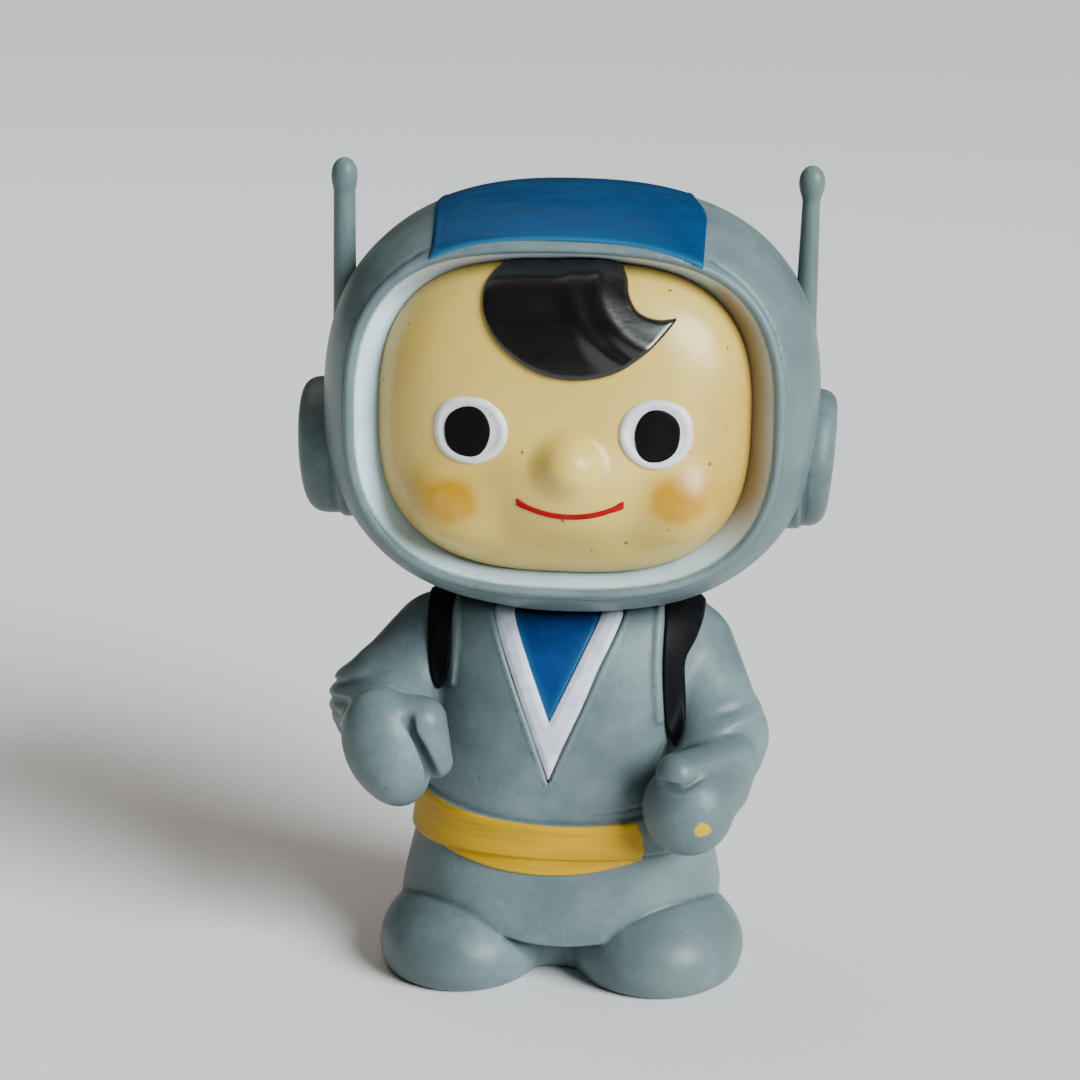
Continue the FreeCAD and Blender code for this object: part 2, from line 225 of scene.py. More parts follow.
def muzzle(x, y, z):
    """The pillow with its nose, soft cheeks and the swell round the mouth."""
    face = face_skin(x, y, z)
    face = smin(face, ball(x, y, z, (1.5, -30.5, 101.0), (14.0, 8.0, 8.5)), 6.0)
    face = smin(face, ball(x, y, z, (-19.5, -30.0, 97.5), (7.0, 5.2, 6.0)), 6.0)
    face = smin(face, ball(x, y, z, (21.0, -30.0, 98.5), (7.0, 5.2, 6.0)), 6.0)
    nose = ball(x, y, z, (2.1, -36.0, 106.0), (5.7, 5.8, 5.2))
    return smin(face, nose, 2.4)


def face(x, y, z):
    """The face as a thin cap that fills the opening."""
    skin = muzzle(x, y, z)
    hole = opening(x, y, z)
    cap = smax(skin, hole + 0.05, 0.6)
    cap = smax(cap, y + 17.8, 0.4)
    return smax(cap, -(face_skin(x, y, z) + WALL), 0.3)


def patch(flat, base, rise, edge, rim=0.0):
    """A raised layer on the face within a flat outline, from base to base + rise proud, its edge rounded. rim
    raises a soft ring just inside the edge."""
    def field(x, y, z):
        skin = muzzle(x, y, z)
        inside = flat(x, z)
        top = base + rise + rim * np.exp(-((inside + 1.0) / 0.7) ** 2)
        return smax(smax(skin - top, inside, edge), -(skin - base + 0.35), 0.1)
    return field


EYES = {"right": (-16.3, 112.0), "left": (17.6, 112.4)}
PUPILS = {"right": (-16.7, 111.8), "left": (17.8, 112.1)}


def oval_patch(centre, half, wobble, seed):
    """A hand-painted oval, a little uneven round its edge."""
    def flat(x, z):
        around = np.arctan2(z - centre[1], x - centre[0])
        edge = np.sin(2 * around + seed) + 0.7 * np.sin(3 * around + 2.3 * seed)
        edge = edge + 0.5 * np.sin(5 * around + seed)
        return superoval(x - centre[0], z - centre[1], half[0], half[1], 2.15) + wobble * edge
    return flat


def smile(x, z):
    """A thin line that dips between its corners, fuller at both ends."""
    dx = x - 2.4
    line = 99.5 - 2.3 * (1.0 - np.minimum(np.abs(dx) / 9.6, 1.0) ** 2.1)
    width = 0.54 + 0.22 * np.exp(-((np.abs(dx) - 9.2) / 1.0) ** 2)
    return np.maximum(np.abs(z - line) - width, np.abs(dx) - 9.8)


HAIR = rounded([(-13.8, 139.6), (-14.9, 135.0), (-13.2, 130.0), (-9.6, 126.0), (-4.2, 122.8), (2.4, 121.7),
                (9.2, 122.9), (14.8, 126.4), (18.9, 130.4), (21.1, 133.3), (17.2, 133.0), (13.8, 134.2),
                (12.0, 136.9), (11.3, 140.0), (8.8, 142.6), (2.0, 143.6), (-8.5, 142.8)], sharp=(9,))


def hair(x, y, z):
    """A thick coat of black in two locks that curl round a notch."""
    skin = muzzle(x, y, z)
    swirl = np.hypot((x - 22.0) * 0.9, z - 141.0)
    rise = 1.0 + 1.1 * np.exp(-((swirl - 14.6) / 2.4) ** 2) + 0.7 * np.exp(-((swirl - 18.8) / 1.9) ** 2)
    field = smax(skin - rise, outline(x, z, HAIR) + 0.15, 0.9)
    field = smax(field, -(skin + 0.4), 0.1)
    return np.maximum(field, opening(x, y, z) + 0.25)


def ear(x, y, z, side):
    """A shallow cup whose outer face leans in slightly towards its foot."""
    reach = x * side
    out, middle = (50.6, 101.9) if side > 0 else (52.5, 101.0)
    radius = np.sqrt((y - 1.0) ** 2 + (z - middle) ** 2)
    cap = out + 0.07 * (z - middle) - 0.004 * radius ** 2
    cup = smax(smax(radius - EAR_R, reach - cap, 3.6), 38.0 - reach, 0.5)
    ring = smax(smax(radius - EAR_R - 0.6, reach - 44.4, 0.7), 38.0 - reach, 0.5)
    groove = 0.35 - np.hypot(radius - EAR_R - 0.3, reach - 45.5)
    return smax(smin(cup, ring, 0.7), groove, 0.3)


def antenna(x, y, z, side):
    """A slim rod with a drop-shaped tip; its foot is webbed into the helmet's side."""
    ax = x * side
    out, top, slim = (44.2, 157.6, 1.65) if side > 0 else (45.4, 156.6, 2.1)
    tip = ball(ax, y, z, (out, 4.5, top - 3.2), (2.5, 2.5, 3.2))
    stem = rod(ax, y, z, (out, 4.5, top - 5.0), (out - 0.2, 4.5, 120.0), slim, 2.3)
    foot = rod(ax, y, z, (out - 0.2, 4.5, 122.0), (out + 0.8, 3.6, 110.0), 2.3, 2.0)
    web = rod(ax, y, z, (out - 1.2, 4.0, 127.0), (out - 3.4, 2.6, 117.0), 1.0, 1.6)
    return smin(smin(smin(tip, stem, 1.2), foot, 1.0), web, 2.0)


def head_side(x, y, z, side):
    """An ear cup and its antenna together."""
    return smin(ear(x, y, z, side), antenna(x, y, z, side), 1.6)


def crown_panel(x, y, z):
    """The painted stripe over the helmet, a low step proud of it."""
    skin = beaded(x, y, z)
    left_edge = x - 25.0 + 3.1 * smooth_step(y, -14.0, 8.0)
    right_edge = -x - 25.0 - 2.0 * smooth_step(y, -26.0, 2.0)
    edge = np.maximum(left_edge, right_edge)
    front = 2.5 - 1.9 * np.minimum(np.abs(x) / 24.0, 1.1) ** 2 - opening(x, y, z)
    flat = smax(edge, np.where(y < 0.0, front, 104.0 - z), 0.6)
    field = smax(skin - 0.38 - 0.12 * np.exp(-((flat + 0.9) / 0.4) ** 2), flat, 0.7)
    return np.maximum(field, -(helmet_skin(x, y, z) + 0.6))


# ---- body ----
NECK_PLUG = 12.6               # radius
COAT_FRONT = -2.0              # relief and paint of the chest lie in front of this
TORSO_ROWS = np.array([        # height, half width, half depth, how far back the middle lies
    [-2.0, 31.0, 24.0, 0.0], [9.0, 32.4, 25.8, 0.0], [14.0, 32.0, 25.3, 0.0], [20.0, 30.6, 24.2, 0.0],
    [26.0, 29.3, 23.1, 0.0], [33.0, 28.6, 22.7, 0.0], [38.0, 27.9, 22.5, 0.0], [46.0, 26.8, 21.9, 0.0],
    [56.0, 26.6, 20.6, 0.0], [65.0, 27.6, 18.9, 0.4], [69.5, 27.6, 17.6, 0.8], [72.7, 25.6, 15.6, 1.0],
    [80.0, 18.0, 12.0, 1.0]])


def curve(z, column):
    """A smooth value of one column of TORSO_ROWS at height z."""
    heights, values = TORSO_ROWS[:, 0], TORSO_ROWS[:, column]
    return sum(np.interp(z + o, heights, values) for o in (-3.0, -1.5, 0.0, 1.5, 3.0)) / 5.0


def torso(x, y, z):
    """The trunk, from the hem to the shoulders."""
    side = superoval(x, y - curve(z, 3), curve(z, 1), curve(z, 2), 2.3)
    return smax(side, z - 73.0, 3.0)


def boots(x, y, z):
    """Two round boots joined by a heel."""
    both = None
    for side in (-1, 1):
        half = (17.0, 20.8, 12.6) if side > 0 else (16.4, 20.4, 12.0)
        middle = (19.7, -8.9, 5.2) if side > 0 else (-18.9, -10.4, 4.8)
        boot = ball(x, y, z, middle, half)
        both = boot if both is None else smin(both, boot, 7.5)
    heel = ball(x, y, z, (0.0, 5.0, 4.0), (27.5, 19.5, 12.5))
    return smax(smin(both, heel, 4.0), -z, 1.4)


HEM = np.array([               # x, and the height of the trousers' lower edge
    [-34.0, 10.0], [-25.0, 11.5], [-19.5, 11.7], [-11.4, 11.0], [-8.2, 9.9], [-3.5, 9.0], [3.3, 8.8],
    [9.5, 9.5], [14.6, 10.9], [20.6, 12.6], [27.2, 13.6], [34.0, 13.4]])


def trousers(x, y, z):
    """The flared seat of the suit, its hem standing a little proud of the boots."""
    hem = sum(np.interp(x + o, HEM[:, 0], HEM[:, 1]) for o in (-2.0, 0.0, 2.0)) / 3.0
    return smax(torso(x, y, z), hem - z, 0.9)


def right_sleeve(x, y, z):
    """The bent sleeve, wrinkled outside the elbow."""
    upper = rod(x, y, z, (-25.0, 2.0, 61.2), (-35.2, -7.0, 51.2), 10.8, 10.2)
    fore = rod(x, y, z, (-35.2, -7.0, 51.2), (-34.0, -18.0, 50.6), 10.2, 8.2)
    sleeve = smin(upper, fore, 3.0)
    across = 0.95 * z - 0.42 * x
    fade = np.exp(-((x + 44.0) / 6.0) ** 2 - ((z - 55.0) / 5.5) ** 2)
    return sleeve - 0.45 * fade * np.cos(6.283 * across / 2.7)


def right_arm(x, y, z):
    """The sleeve with an open mitten of a hand: fingers together, thumb apart."""
    palm = ball(x, y, z, (-32.6, -25.0, 48.4), (8.3, 7.2, 11.2), -16.0)
    tips = ball(x, y, z, (-29.6, -26.0, 43.0), (5.2, 5.8, 5.9))
    thumb = rod(x, y, z, (-25.9, -24.8, 53.1), (-23.2, -23.6, 45.0), 5.0, 3.4)
    fingers = smin(palm, tips, 3.0)
    slit = rod(x, y, z, (-27.9, -29.3, 55.2), (-23.9, -26.5, 42.5), 0.9, 1.5)
    root = smooth_step(z, 54.0, 58.0)
    hand = smin(smax(fingers, -slit, 0.9), smax(thumb, -slit, 1.1), 0.4 + 3.0 * root)
    return smin(right_sleeve(x, y, z), hand, 1.3)


def left_sleeve(x, y, z):
    """The other sleeve, wrinkled at the wrist."""
    upper = rod(x, y, z, (22.5, 2.0, 61.5), (30.4, -7.0, 47.4), 10.8, 9.2)
    fore = rod(x, y, z, (30.4, -7.0, 47.4), (28.4, -17.0, 41.4), 9.2, 8.8)
    sleeve = smin(upper, fore, 3.0)
    across = z - 0.25 * x
    fade = np.exp(-((x - 33.5) / 4.5) ** 2 - ((z - 53.0) / 2.6) ** 2)
    return sleeve - 0.4 * fade * np.cos(6.283 * (across - 44.2) / 4.2)


def left_arm(x, y, z):
    """The sleeve with a fist, its thumb folded over the top."""
    fist = ball(x, y, z, (25.4, -24.5, 38.2), (8.8, 8.6, 9.2))
    thumb = rod(x, y, z, (23.1, -27.0, 45.7), (33.5, -17.5, 46.0), 4.1, 4.4)
    hand = smin(smin(left_sleeve(x, y, z), fist, 3.0), thumb, 1.0)
    fold = rod(x, y, z, (18.4, -30.0, 44.2), (24.4, -31.6, 44.2), 1.1, 0.8)
    fold = np.minimum(fold, rod(x, y, z, (24.4, -31.6, 44.2), (29.8, -28.4, 46.6), 0.8, 0.3))
    return smax(hand, -fold, 0.8)


V_OUTER = [(-17.6, 82.0), (-1.7, 41.2), (15.6, 82.0)]
V_INNER = [(-13.6, 82.0), (-1.9, 52.6), (11.6, 82.0)]
STRAPS = {
    "right": [(-28.4, 82.0), (-22.4, 82.0), (-21.9, 72.0), (-21.8, 65.0), (-22.4, 59.5), (-24.0, 56.0),
              (-25.6, 58.6), (-26.6, 64.0), (-27.6, 72.0)],
    "left": [(19.4, 82.0), (27.8, 82.0), (27.0, 72.0), (25.6, 67.5), (23.6, 63.4), (23.9, 57.0), (24.1, 52.0),
             (23.4, 49.4), (22.0, 48.2), (20.6, 50.4), (19.9, 55.0), (19.4, 62.0), (19.4, 72.0)]}
STRAP_TOP = {"right": (22.0, 27.6), "left": (19.4, 27.0)}
RIDGES = [[(-21.0, 82.0), (-20.9, 66.0), (-21.4, 58.0)], [(18.4, 82.0), (18.3, 64.0), (19.2, 53.0)]]


def suit_skin(x, y, z):
    """Trunk and sleeves, before any relief."""
    trunk = smin(torso(x, y, z), right_sleeve(x, y, z), 2.2)
    return smin(trunk, left_sleeve(x, y, z), 2.2)


def belt_top(x):
    """Height of the waistband's upper edge."""
    return 33.0 + 0.004 * x * x


def dressed_trunk(x, y, z):
    """Trousers, boots and waistband, with the jacket's seam and the ridge beside each strap."""
    suit = torso(x, y, z)
    band = smax(suit - 0.75, np.maximum(z - belt_top(x), 26.5 - z), 0.8)
    trunk = smin(smin(trousers(x, y, z), boots(x, y, z), 0.45), band, 0.5)
    seam = np.hypot(z - belt_top(x) - 2.0 - 0.05 * (x - 14.0), suit)
    trunk = smax(trunk, 0.38 - seam - 0.045 * np.abs(x - 16.0) - 5.0 * (y > 0), 0.3)
    for line in RIDGES:
        trunk = ridge(trunk, np.maximum(suit, y - COAT_FRONT), track(x, z, line), 0.55, 0.8)
    return trunk


def neck_plug(x, y, z):
    """The plug that the head turns on, with the flange that holds it."""
    from_axis = np.hypot(x, y)
    neck = np.maximum(from_axis - NECK_PLUG, np.abs(z - 74.0) - 6.0)
    flange = np.maximum(from_axis + (z - 77.2) * 0.8 - 15.2, np.maximum(77.2 - z, z - 80.4))
    return np.minimum(neck, flange)


def body(x, y, z):
    """The body moulding, hollowed under the painted V and edged round it."""
    whole = smin(dressed_trunk(x, y, z), right_arm(x, y, z), 2.2)
    whole = smin(whole, left_arm(x, y, z), 2.2)
    whole = np.minimum(whole, neck_plug(x, y, z))
    suit = torso(x, y, z)
    flat = outline(x, z, V_OUTER)
    front = np.maximum(suit, y - COAT_FRONT)
    whole = ridge(whole, np.maximum(front, z - 72.0), np.abs(flat - 0.6), 0.25, 0.4)
    whole = smax(whole, -np.maximum(np.maximum(flat, y - COAT_FRONT), -(suit + 1.5)), 0.3)
    return np.maximum(whole + 0.12 * waves(x, y, z, 17.0, 2) * smooth_step(z, 1.0, 8.0), -z)


def inlay(points, cut, deep):
    """A painted field of the chest, sunk deep below the suit's surface."""
    def field(x, y, z):
        suit = torso(x, y, z)
        flat = outline(x, z, points) + 0.02
        if cut:
            flat = np.maximum(flat, -outline(x, z, cut))
        solid = smax(suit + deep - 0.3 * smooth_step(-flat, 0.3, 1.2) * bool(cut), flat, 0.4)
        return np.maximum(np.maximum(solid, -(suit + 1.5)), y - COAT_FRONT)
    return field


def belt(x, y, z):
    """The yellow run of the waistband and of the lip under its groove."""
    suit = torso(x, y, z)
    lip = 22.9 + 0.0075 * (x + 3.0) ** 2
    band = smax(suit - 0.95, np.maximum(z - belt_top(x) + 0.15, 25.7 - z), 0.8)
    hem = smax(suit - 0.55, np.maximum(z - 25.8, lip - z), 0.6)
    whole = smax(np.minimum(band, hem), 0.5 - np.hypot(z - 25.8, suit - 0.85), 0.3)
    whole = np.maximum(whole, -(suit + 0.4))
    end = 17.1 - 0.055 * (z - 28.2) ** 2 + 0.16 * np.sin(2.3 * z) + 0.06 * np.sin(5.1 * z + 1.0)
    whole = smax(whole, np.maximum(x - end, y - COAT_FRONT), 0.5)
    return smax(whole, -right_arm(x, y, z), 0.2)


def strap(side, sign):
    """A painted strap: down the chest to a point in front, and slanting in to the pack behind."""
    front_points = rounded(STRAPS[side])
    inner, outer = STRAP_TOP[side]
    back_points = [(inner, 82.0), (outer, 82.0), (outer, 73.0), (24.0, 66.5), (15.5, 59.5), (12.5, 59.5),
                   (12.5, 65.0), (inner - 2.0, 68.6), (inner, 73.0)]

    def field(x, y, z):
        suit = suit_skin(x, y, z)
        flat = np.where(y < 3.0, outline(x, z, front_points), outline(x * sign, z, back_points))
        band = smax(suit - 0.8, flat, 0.8)
        return np.maximum(band, -(suit + 0.4))
    return field


def back_pack(x, y, z):
    """A plain rounded block against the back."""
    block = superball(x, y, z, (0.0, 15.0, 52.0), (14.6, 12.0, 12.2), 5.0)
    return smax(block, -(torso(x, y, z) + 0.3), 0.2)


# ---- meshing ----
def to_mesh(name, field, low, high, step):
    """The zero level of a field as a quad mesh in metres, its points pulled onto the surface."""
    axes = [np.arange(lo - 2.5 * step, hi + 2.5 * step, step) for lo, hi in zip(low, high)]
    x, y, z = axes[0][:, None, None], axes[1][None, :, None], axes[2][None, None, :]
    values = np.broadcast_to(field(x, y, z), [len(a) for a in axes]).astype(np.float32)
    grid = openvdb.FloatGrid(3.0 * step)
    grid.copyFromArray(np.clip(values, -3.0 * step, 3.0 * step))
    points, quads = grid.convertToQuads()
    points = points.astype(np.float64) * step + [a[0] for a in axes]
    for _ in range(4):
        points = pull(field, points, 0.6 * step)
    mesh = bpy.data.meshes.new(name)
    mesh.from_pydata((points * MM).tolist(), [], quads[:, ::-1].tolist())
    mesh.polygons.foreach_set("use_smooth", [True] * len(mesh.polygons))
    mesh.update()
    bend = curl(field, points, 0.6)
    # hollow darkens the materials in grooves and creases: settled dirt and painted shade together.
    store(mesh, "hollow", np.clip(-bend * 0.8 - curl(field, points, 2.2) * 1.1, 0.0, 1.0))
    # edge lightens the vinyl on convex edges: rubbed wear and painted highlight together.
    store(mesh, "edge", np.clip(bend * 0.6 - 0.12, 0.0, 1.0))
    obj = bpy.data.objects.new(name, mesh)
    bpy.context.scene.collection.objects.link(obj)
    print(name, len(points), "points")
    return obj, points


def store(mesh, name, values):
    """Keeps one number per mesh point for the materials to read."""
    layer = mesh.attributes.new(name, "FLOAT", "POINT")
    layer.data.foreach_set("value", np.ascontiguousarray(values, dtype=np.float32))


def curl(field, points, h):
    """How sharply the surface bends at each point: positive on an edge, negative in a groove."""
    x, y, z = points.T
    total = -6.0 * field(x, y, z)
    for dx, dy, dz in ((h, 0, 0), (0, h, 0), (0, 0, h)):
        total += field(x + dx, y + dy, z + dz) + field(x - dx, y - dy, z - dz)
    return total / (h * h)


def pull(field, points, most):
    """One step of each point towards the surface, along the field's slope."""
    x, y, z = points.T
    h = 0.05
    value = field(x, y, z)
    slope = np.stack([
        field(x + h, y, z) - field(x - h, y, z),
        field(x, y + h, z) - field(x, y - h, z),
        field(x, y, z + h) - field(x, y, z - h)], axis=1) / (2 * h)
    move = -value[:, None] * slope / np.maximum((slope ** 2).sum(axis=1), 0.05)[:, None]
    size = np.linalg.norm(move, axis=1)[:, None]
    return points + move * np.minimum(1.0, most / np.maximum(size, 1e-9))


def piece(name, field, low, high, step, material, body_name, nodes, masks=None):
    """Builds one piece, on its CAD body and in place of its CAD nodes. masks names extra numbers for its
    material."""
    obj, points = to_mesh(name, field, low, high, step)
    for label, mask in (masks or {}).items():
        store(obj.data, label, mask(*points.T))
    obj.data.materials.append(material)
    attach(obj, body_name)
    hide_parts(*nodes)
    return obj


# ---- masks: where paint is sprayed, from 0 to 1; each takes x, y, z like a field ----
def spot(x, z, centre, half_x, half_z):
    """A soft oval, 1 at its middle."""
    return np.exp(-((x - centre[0]) / half_x) ** 2 - ((z - centre[1]) / half_z) ** 2)


def cheeks(x, y, z):
    """A strong spot in a weak halo on each cheek."""
    right = spot(x, z, (-19.4, 98.6), 3.9, 3.4) + 0.28 * spot(x, z, (-21.5, 99.0), 8.0, 5.0)
    left = spot(x, z, (21.8, 100.2), 4.3, 3.5) + 0.28 * spot(x, z, (24.5, 101.0), 8.5, 5.5)
    return np.clip(1.8 * (right + left), 0.0, 1.0) * (y < -20.0)


def face_edge_spray_and_shade(x, y, z):
    """Rises towards the face's edge, where its brown is part spray and part painted shade in the gap by the
    helmet's wall.
    """
    return np.exp(np.minimum(opening(x, y, z), 0.0) / 1.7)


def face_spray_and_shade(x, y, z):
    """The warm spray that deepens towards the sides and under the chin, with a band near the figure's left
    edge; partly real spray, partly painted shade where the face turns away.
    """
    side = smooth_step(np.abs(x), 22.0, 35.0) * 0.7
    low = smooth_step(-(z - 92.0), 0.0, 8.0) * 0.35
    return np.clip(side + low + 0.9 * spot(x, z, (30.5, 109.0), 4.5, 11.0), 0.0, 1.0)


def inner_wall(x, y, z):
    """The wall between the helmet's rim and the face."""
    near = 1.0 - smooth_step(np.abs(opening(x, y, z)), 0.5, 1.3)
    return near * smooth_step(-helmet_skin(x, y, z), 0.5, 1.3) * (y < 0)


def warm_wall_spray_and_shade(x, y, z):
    """Where the wall turns brown, on the figure's left side and above: part the face's warm spray drifted
    onto it, part painted shade.
    """
    side = smooth_step(x, 24.0, 33.0) * smooth_step(z, 86.0, 100.0)
    deep = smooth_step(y, -30.0, -24.0)
    return inner_wall(x, y, z) * np.clip(side + 0.4 * smooth_step(z, 130.0, 138.0), 0.0, 1.0) * deep


def paint_dot(x, y, z):
    """Falls from 1 at the middle of a stray dab of yellow on the fist."""
    return np.clip(1.0 - np.hypot(x - 28.4, z - 36.6) / 4.0, 0.0, 1.0) * (y < -20.0)


def neckline_paint_and_highlight(x, y, z):
    """Rises towards the undershirt's edge, where a lighter blue is part painted bevel line and part painted
    highlight of the lit step.
    """
    return np.exp(np.minimum(outline(x, z, V_INNER), 0.0) / 0.45)


def panel_border(x, y, z):
    """Rises towards the stripe's front edge."""
    edge = 2.5 - 1.9 * np.minimum(np.abs(x) / 24.0, 1.1) ** 2
    front = np.exp(-np.maximum(opening(x, y, z) - edge, 0.0) / 0.8) * (y < 0)
    return np.clip(front, 0.0, 1.0)


# ---- materials ----
class Nodes:
    """Short ways to add and join shader nodes in one material."""

    def __init__(self, name):
        self.material = bpy.data.materials.new(name)
        self.material.use_nodes = True
        self.tree = self.material.node_tree
        self.bsdf = self.tree.nodes["Principled BSDF"]
        self.place = self.add("ShaderNodeTexCoord").outputs["Object"]

    def add(self, kind, **values):
        node = self.tree.nodes.new(kind)
        for key, value in values.items():
            setattr(node, key, value)
        return node

    def join(self, output, target):
        self.tree.links.new(output, target)

    def scaled(self, x, y, z):
        node = self.add("ShaderNodeMapping")
        node.inputs["Scale"].default_value = (x, y, z)
        self.join(self.place, node.inputs["Vector"])
        return node.outputs["Vector"]

    def noise(self, scale, detail=4.0, rough=0.5, vector=None, seed=0.0):
        node = self.add("ShaderNodeTexNoise", noise_dimensions="4D")
        node.inputs["Scale"].default_value = scale
        node.inputs["Detail"].default_value = detail
        node.inputs["Roughness"].default_value = rough
        node.inputs["W"].default_value = seed
        self.join(vector or self.place, node.inputs["Vector"])
        return node.outputs["Fac"]

    def ramp(self, value, low, high, out_low=0.0, out_high=1.0):
        node = self.add("ShaderNodeMapRange", interpolation_type="SMOOTHSTEP")
        for key, number in zip(("From Min", "From Max", "To Min", "To Max"), (low, high, out_low, out_high)):
            node.inputs[key].default_value = number
        self.join(value, node.inputs["Value"])
        return node.outputs["Result"]

    def math(self, kind, a, b):
        node = self.add("ShaderNodeMath", operation=kind, use_clamp=kind != "POWER")
        for value, slot in ((a, node.inputs[0]), (b, node.inputs[1])):
            if isinstance(value, (int, float)):
                slot.default_value = value
            else:
                self.join(value, slot)
        return node.outputs[0]

    def mask(self, name):
        return self.add("ShaderNodeAttribute", attribute_name=name).outputs["Fac"]

    def mix(self, amount, a, b):
        """Colour a turned towards b by amount. Either may be a plain colour."""
        node = self.add("ShaderNodeMix", data_type="RGBA")
        for value, slot in ((amount, node.inputs[0]), (a, node.inputs[6]), (b, node.inputs[7])):
            if isinstance(value, (int, float)):
                slot.default_value = value
            elif isinstance(value, tuple):
                slot.default_value = (*value, 1.0)
            else:
                self.join(value, slot)
        return node.outputs[2]

    def finish(self, colour, rough, height=None, depth=0.0, spec=0.5):
        self.join(colour, self.bsdf.inputs["Base Color"])
        if isinstance(rough, (int, float)):
            self.bsdf.inputs["Roughness"].default_value = rough
        else:
            self.join(rough, self.bsdf.inputs["Roughness"])
        self.bsdf.inputs["Specular IOR Level"].default_value = spec
        if height is not None:
            bump = self.add("ShaderNodeBump")
            bump.inputs["Strength"].default_value = 1.0
            bump.inputs["Distance"].default_value = depth
            self.join(height, bump.inputs["Height"])
            self.join(bump.outputs["Normal"], self.bsdf.inputs["Normal"])
        return self.material


def darker(colour, by):
    """The colour multiplied: below 1 it is darker, above 1 lighter."""
    return tuple(c * by for c in colour)


def vinyl(name, colour, extra=None):
    """Matt soft vinyl: faint clouding, scuffs, pinholes, settled dirt and painted shade darkening the
    creases, and convex edges lightened by rubbed wear and painted highlight.
    """
    n = Nodes(name)
    cloud = n.noise(55.0, 5.0, 0.55)
    tone = n.mix(n.ramp(cloud, 0.35, 0.65), darker(colour, 0.70), darker(colour, 1.17))
    grain = n.ramp(n.noise(620.0, 3.0, 0.6, seed=40.0), 0.3, 0.7, 0.0, 0.22)
    tone = n.mix(grain, tone, darker(colour, 0.55))
    stain = n.ramp(n.noise(44.0, 8.0, 0.75, seed=30.0), 0.46, 0.66, 0.0, 0.7)
    tone = n.mix(stain, tone, darker(colour, 0.62))
    tint = (colour[0] * 1.06, colour[1] * 1.02, colour[2] * 0.93)
    tone = n.mix(n.ramp(n.noise(24.0, 3.0, seed=3.0), 0.45, 0.7, 0.0, 0.6), tone, tint)
    # Crease darkening: settled dirt and painted shade.
    grime_and_shade = n.math("MULTIPLY", n.mask("hollow"), n.ramp(n.noise(160.0, 3.0, seed=5.0), 0.25, 0.6, 0.45, 1.0))
    tone = n.mix(n.math("MULTIPLY", grime_and_shade, 0.62), tone, darker(colour, 0.30))
    # Lighter convex edges: rubbed wear and painted highlight.
    tone = n.mix(n.math("MULTIPLY", n.mask("edge"), 0.35), tone, tuple(c * 1.35 + 0.02 for c in colour))
    scuff = n.ramp(n.noise(340.0, 2.0, 0.6, n.scaled(1.0, 1.0, 0.35), 9.0), 0.66, 0.74, 0.0, 0.16)
    tone = n.mix(scuff, tone, darker(colour, 1.45))
    pin = n.ramp(n.noise(900.0, 1.0, 0.4, seed=12.0), 0.74, 0.78, 0.0, 0.5)
    tone = n.mix(pin, tone, darker(colour, 0.35))
    if extra:
        tone = extra(n, tone)
    rough = n.ramp(cloud, 0.3, 0.7, 0.36, 0.47)
    fine = n.math("MULTIPLY", n.noise(2400.0, 2.0, seed=2.0), 0.25)
    height = n.math("ADD", n.noise(420.0, 3.0, 0.5, seed=1.0), fine)
    return n.finish(tone, rough, height, 0.00009, 0.32)


def pale_wall(n, tone):
    """The lighter spray on the wall between the helmet's rim and the face, and the brown on its shaded side,
    which is part drifted spray and part painted shade.
    """
    amount = n.math("MULTIPLY", n.mask("wall"), n.ramp(n.noise(120.0, 3.0, seed=4.0), 0.2, 0.6, 0.75, 1.0))
    # Brown on the wall's shaded side: drifted spray and painted shade.
    return n.mix(n.math("MULTIPLY", n.mask("warm"), 0.85), n.mix(amount, tone, PALE), BROWN)


def yellow_dab(n, tone):
    """A stray dab of the belt's yellow, with a ragged edge."""
    edge = n.math("ADD", n.mask("dot"), n.ramp(n.noise(900.0, 2.0, seed=21.0), 0.3, 0.7, -0.06, 0.06))
    return n.mix(n.ramp(edge, 0.60, 0.66), tone, (0.58, 0.36, 0.0))


def paint(name, colour, rough, streak=(1.0, 1.0, 1.0), thin=None, amount=0.3, edge=None, spec=0.5):
    """Hand-brushed or sprayed paint. streak stretches its brush marks; thin shows where it is worn."""
    n = Nodes(name)
    marks = n.noise(260.0, 4.0, 0.6, n.scaled(*streak), 6.0)
    tone = n.mix(n.ramp(marks, 0.3, 0.7), darker(colour, 0.84), darker(colour, 1.12))
    if thin:
        worn = n.noise(70.0, 5.0, 0.6, n.scaled(*streak), 8.0)
        tone = n.mix(n.ramp(worn, 0.5, 0.72, 0.0, amount), tone, thin)
    # Darker in creases: dirt and painted shade.
    tone = n.mix(n.math("MULTIPLY", n.mask("hollow"), 0.5), tone, darker(colour, 0.4))
    if edge:
        tone = n.mix(n.math("MULTIPLY", n.mask("border"), 0.75), tone, edge)
    return n.finish(tone, n.ramp(marks, 0.3, 0.7, rough * 0.85, rough * 1.2), marks, 0.00006, spec)


